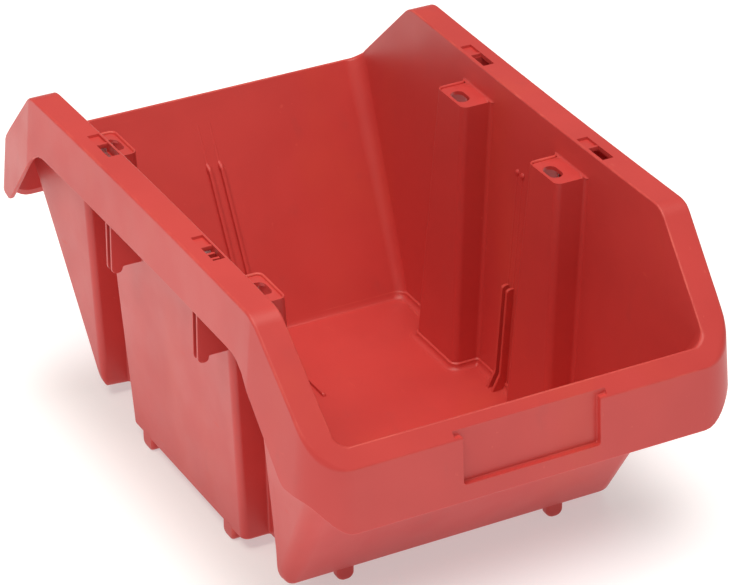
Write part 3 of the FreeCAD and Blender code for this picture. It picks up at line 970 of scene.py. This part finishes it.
DEEP_RED = (0.575, 0.055, 0.051, 1)
PALE_RED = (0.615, 0.061, 0.056, 1)
ORANGE_RED = (0.630, 0.076, 0.048, 1)
# Lighter red for scuffs, and for the painted highlights on edges and sink marks
SCUFF_AND_HIGHLIGHT_RED = (0.780, 0.150, 0.110, 1)
DUSTY_RED = (0.520, 0.060, 0.056, 1)
REFRACTION = 1.46
SINK_SHEEN_X = (0.080, 0.085)    # the painted sheen of the sink mark behind the side guides fades in over these ranges, in metres
SINK_SHEEN_Y = (0.016, 0.002)
SINK_SHEEN_Z = (0.130, 0.090)
SINK_SHEEN_STRENGTH = 0.10
# strength of the painted edge highlight
HIGHLIGHT_STRENGTH = 0.35
SCUFF_STRENGTH = 0.3
ROUGHNESS = (0.35, 0.42)
SCUFF_ROUGHNESS = 0.15     # added where the surface is scuffed
EDGE_ROUGHNESS = 0.08      # and along tight outer roundings, under the painted edge highlight
UNEVEN_DEPTH = 0.00018     # metres
GRAIN_DEPTH = 0.00003


class Weave:
    """Short names for making and joining shader nodes."""

    def __init__(self, tree):
        self.tree = tree
        self.place = tree.nodes.new("ShaderNodeTexCoord").outputs["Object"]

    def join(self, source, socket):
        self.tree.links.new(source, socket)

    def noise(self, scale, detail=2.0, stretch=(1, 1, 1)):
        """Noise with a scale in features for each metre."""
        mapping = self.tree.nodes.new("ShaderNodeMapping")
        mapping.inputs["Scale"].default_value = stretch
        self.join(self.place, mapping.inputs["Vector"])
        node = self.tree.nodes.new("ShaderNodeTexNoise")
        node.inputs["Scale"].default_value = scale
        node.inputs["Detail"].default_value = detail
        self.join(mapping.outputs["Vector"], node.inputs["Vector"])
        return node.outputs["Fac"]

    def remap(self, value, low, high, new_low=0.0, new_high=1.0):
        """Smooth step of a value from one range to another."""
        node = self.tree.nodes.new("ShaderNodeMapRange")
        node.interpolation_type = "SMOOTHSTEP"
        limits = {"From Min": low, "From Max": high, "To Min": new_low, "To Max": new_high}
        for name, number in limits.items():
            node.inputs[name].default_value = number
        self.join(value, node.inputs["Value"])
        return node.outputs["Result"]

    def compute(self, first, second, operation="ADD"):
        """Arithmetic on two numbers or outputs."""
        node = self.tree.nodes.new("ShaderNodeMath")
        node.operation = operation
        for socket, value in zip(node.inputs, (first, second)):
            if isinstance(value, (int, float)):
                socket.default_value = value
            else:
                self.join(value, socket)
        return node.outputs["Value"]

    def vector(self, operation, first, second=None):
        """Vector arithmetic; a length comes out as a number."""
        node = self.tree.nodes.new("ShaderNodeVectorMath")
        node.operation = operation
        self.join(first, node.inputs[0])
        if second is not None:
            node.inputs[1].default_value = second
        return node.outputs["Value" if operation == "LENGTH" else "Vector"]

    def blend(self, share, first, second):
        """Mix of two colours."""
        node = self.tree.nodes.new("ShaderNodeMix")
        node.data_type = "RGBA"
        self.join(share, node.inputs["Factor"])
        for name, value in (("A", first), ("B", second)):
            socket = [s for s in node.inputs if s.name == name and s.type == "RGBA"][0]
            if isinstance(value, tuple):
                socket.default_value = value
            else:
                self.join(value, socket)
        return [s for s in node.outputs if s.type == "RGBA"][0]

    def bump(self, height, depth, normal=None):
        """Bump with its depth in metres."""
        node = self.tree.nodes.new("ShaderNodeBump")
        node.inputs["Distance"].default_value = depth
        self.join(height, node.inputs["Height"])
        if normal is not None:
            self.join(normal, node.inputs["Normal"])
        return node.outputs["Normal"]


def make_plastic():
    """Semi-gloss polypropylene: mottled pigment, a painted sheen over the sink marks, painted highlights
    along tight outer edges, scuffs and a fine grain.
    """
    material = bpy.data.materials.new("red_polypropylene")
    material.use_nodes = True
    shader = material.node_tree.nodes["Principled BSDF"]
    shader.inputs["IOR"].default_value = REFRACTION
    weave = Weave(material.node_tree)

    colour = weave.blend(weave.remap(weave.noise(16, 3), 0.36, 0.64), DEEP_RED, PALE_RED)
    streaks = weave.remap(weave.noise(22, 4, (1, 1, 0.3)), 0.52, 0.78, 0, 0.4)
    colour = weave.blend(streaks, colour, ORANGE_RED)

    # A lighter band behind the side guides: a painted sheen standing in for the light a sink mark catches.
    split = weave.tree.nodes.new("ShaderNodeSeparateXYZ")
    weave.join(weave.place, split.inputs["Vector"])
    off_middle = weave.compute(split.outputs["Y"], 0.0, "ABSOLUTE")
    off_axis = weave.compute(split.outputs["X"], 0.0, "ABSOLUTE")
    sink_sheen = weave.compute(weave.remap(off_middle, *SINK_SHEEN_Y), weave.remap(off_axis, *SINK_SHEEN_X), "MULTIPLY")
    sink_sheen = weave.compute(sink_sheen, weave.remap(split.outputs["Z"], *SINK_SHEEN_Z), "MULTIPLY")
    colour = weave.blend(weave.compute(sink_sheen, SINK_SHEEN_STRENGTH, "MULTIPLY"), colour, SCUFF_AND_HIGHLIGHT_RED)

    # Lighter colour on tight outer roundings, in patches: a painted edge highlight.
    attribute = weave.tree.nodes.new("ShaderNodeAttribute")
    attribute.attribute_name = HIGHLIGHT_LAYER
    patches = weave.remap(weave.noise(110, 4), 0.38, 0.66, 0.15, 1)
    highlight = weave.compute(weave.remap(attribute.outputs["Fac"], 0.2, 1), patches, "MULTIPLY")
    colour = weave.blend(weave.compute(highlight, HIGHLIGHT_STRENGTH, "MULTIPLY"), colour, SCUFF_AND_HIGHLIGHT_RED)

    dust = weave.remap(weave.noise(70, 5, (1, 1, 0.6)), 0.62, 0.80, 0, 0.5)
    colour = weave.blend(dust, colour, DUSTY_RED)
    scuffs = weave.remap(weave.noise(260, 3, (1, 0.25, 1)), 0.70, 0.80)
    colour = weave.blend(weave.compute(scuffs, SCUFF_STRENGTH, "MULTIPLY"), colour, SCUFF_AND_HIGHLIGHT_RED)
    weave.join(colour, shader.inputs["Base Color"])

    roughness = weave.remap(weave.noise(45, 4), 0.3, 0.7, *ROUGHNESS)
    roughness = weave.compute(roughness, weave.compute(scuffs, SCUFF_ROUGHNESS, "MULTIPLY"))
    roughness = weave.compute(roughness, weave.compute(highlight, EDGE_ROUGHNESS, "MULTIPLY"))
    weave.join(roughness, shader.inputs["Roughness"])

    unevenness = weave.bump(weave.noise(24, 1), UNEVEN_DEPTH)
    grain = weave.bump(weave.noise(1500, 2), GRAIN_DEPTH, unevenness)
    weave.join(grain, shader.inputs["Normal"])
    return material


# ---- studio ----

CAMERA_AZIMUTH = math.radians(28.17)
CAMERA_ELEVATION = math.radians(29.99)
CAMERA_DISTANCE = 1.6354   # in metres
CAMERA_AIM = Vector((-0.0590, -0.1258, 0.1676))
CAMERA_LENS = 182.4        # lens and sensor in millimetres
CAMERA_SENSOR = 36


def make_camera():
    forward = Vector((math.sin(CAMERA_AZIMUTH) * math.cos(CAMERA_ELEVATION),
                      math.cos(CAMERA_AZIMUTH) * math.cos(CAMERA_ELEVATION),
                      -math.sin(CAMERA_ELEVATION)))
    camera = bpy.data.objects.new("camera", bpy.data.cameras.new("camera"))
    camera.data.lens = CAMERA_LENS
    camera.data.sensor_width = CAMERA_SENSOR
    camera.location = CAMERA_AIM - forward * CAMERA_DISTANCE
    camera.rotation_euler = forward.to_track_quat("-Z", "Y").to_euler()
    bpy.context.scene.collection.objects.link(camera)
    bpy.context.scene.camera = camera


FLOOR_GREY = (0.55, 0.55, 0.55, 1)
FLOOR_ROUGHNESS = 0.9
FLOOR_SIZE = 6
FLOOR_GLOW = 0.76          # the floor glows by this much, to come out white
FLOOR_PAINTED_SHADOW = 0.42         # and only by this much close round the bin's foot, a painted contact shadow
PAINTED_SHADOW_HALF_SIZE = (0.088, 0.108, 0)
PAINTED_SHADOW_WIDTH = 0.06
WORLD_COLOUR = (1.0, 0.93, 0.86, 1)
WORLD_STRENGTH = 0.30
LAMP_COLOUR = (1.0, 0.92, 0.82)
LAMPS = {                  # power in watts, size and place in metres
    "overhead": (23.5, 1.6, Vector((-0.15, -0.15, 1.7))),
    "key": (7.0, 0.35, Vector((-1.05, -0.40, 1.7))),
}


def make_sweep():
    """Flat pale floor with a glow of its own, weaker close round the bin as a painted contact shadow."""
    material = bpy.data.materials.new("studio_floor")
    material.use_nodes = True
    shader = material.node_tree.nodes["Principled BSDF"]
    shader.inputs["Base Color"].default_value = FLOOR_GREY
    shader.inputs["Roughness"].default_value = FLOOR_ROUGHNESS
    shader.inputs["Emission Color"].default_value = (1, 1, 1, 1)
    weave = Weave(material.node_tree)
    outside = weave.place
    # The glow drops close round the bin's footprint: a painted contact shadow.
    for operation, value in (("ABSOLUTE", None), ("SUBTRACT", PAINTED_SHADOW_HALF_SIZE), ("MAXIMUM", (0, 0, 0))):
        outside = weave.vector(operation, outside, value)
    glow = weave.remap(weave.vector("LENGTH", outside), 0.0, PAINTED_SHADOW_WIDTH, FLOOR_PAINTED_SHADOW, FLOOR_GLOW)
    weave.join(glow, shader.inputs["Emission Strength"])
    mesh = bmesh.new()
    bmesh.ops.create_grid(mesh, x_segments=1, y_segments=1, size=FLOOR_SIZE)
    data = bpy.data.meshes.new("studio_floor")
    mesh.to_mesh(data)
    mesh.free()
    floor = bpy.data.objects.new("studio_floor", data)
    floor.data.materials.append(material)
    bpy.context.scene.collection.objects.link(floor)


def make_light():
    """Soft box overhead, a small key light for the glints, and a dim warm room."""
    world = bpy.data.worlds.new("studio")
    world.use_nodes = True
    background = world.node_tree.nodes["Background"]
    background.inputs["Color"].default_value = WORLD_COLOUR
    background.inputs["Strength"].default_value = WORLD_STRENGTH
    bpy.context.scene.world = world
    for name, (power, size, place) in LAMPS.items():
        light = bpy.data.lights.new(name, "AREA")
        light.size = size
        light.energy = power
        light.color = LAMP_COLOUR
        lamp = bpy.data.objects.new(name, light)
        lamp.location = place
        lamp.rotation_euler = (-place).to_track_quat("-Z", "Y").to_euler()
        bpy.context.scene.collection.objects.link(lamp)
    bpy.context.scene.view_settings.view_transform = "Standard"


PLASTIC = make_plastic()
make_camera()
make_sweep()
make_light()
make_floor()
make_walls()
make_rim()
make_webs()
make_side_guides()
make_end_guides()
make_feet()
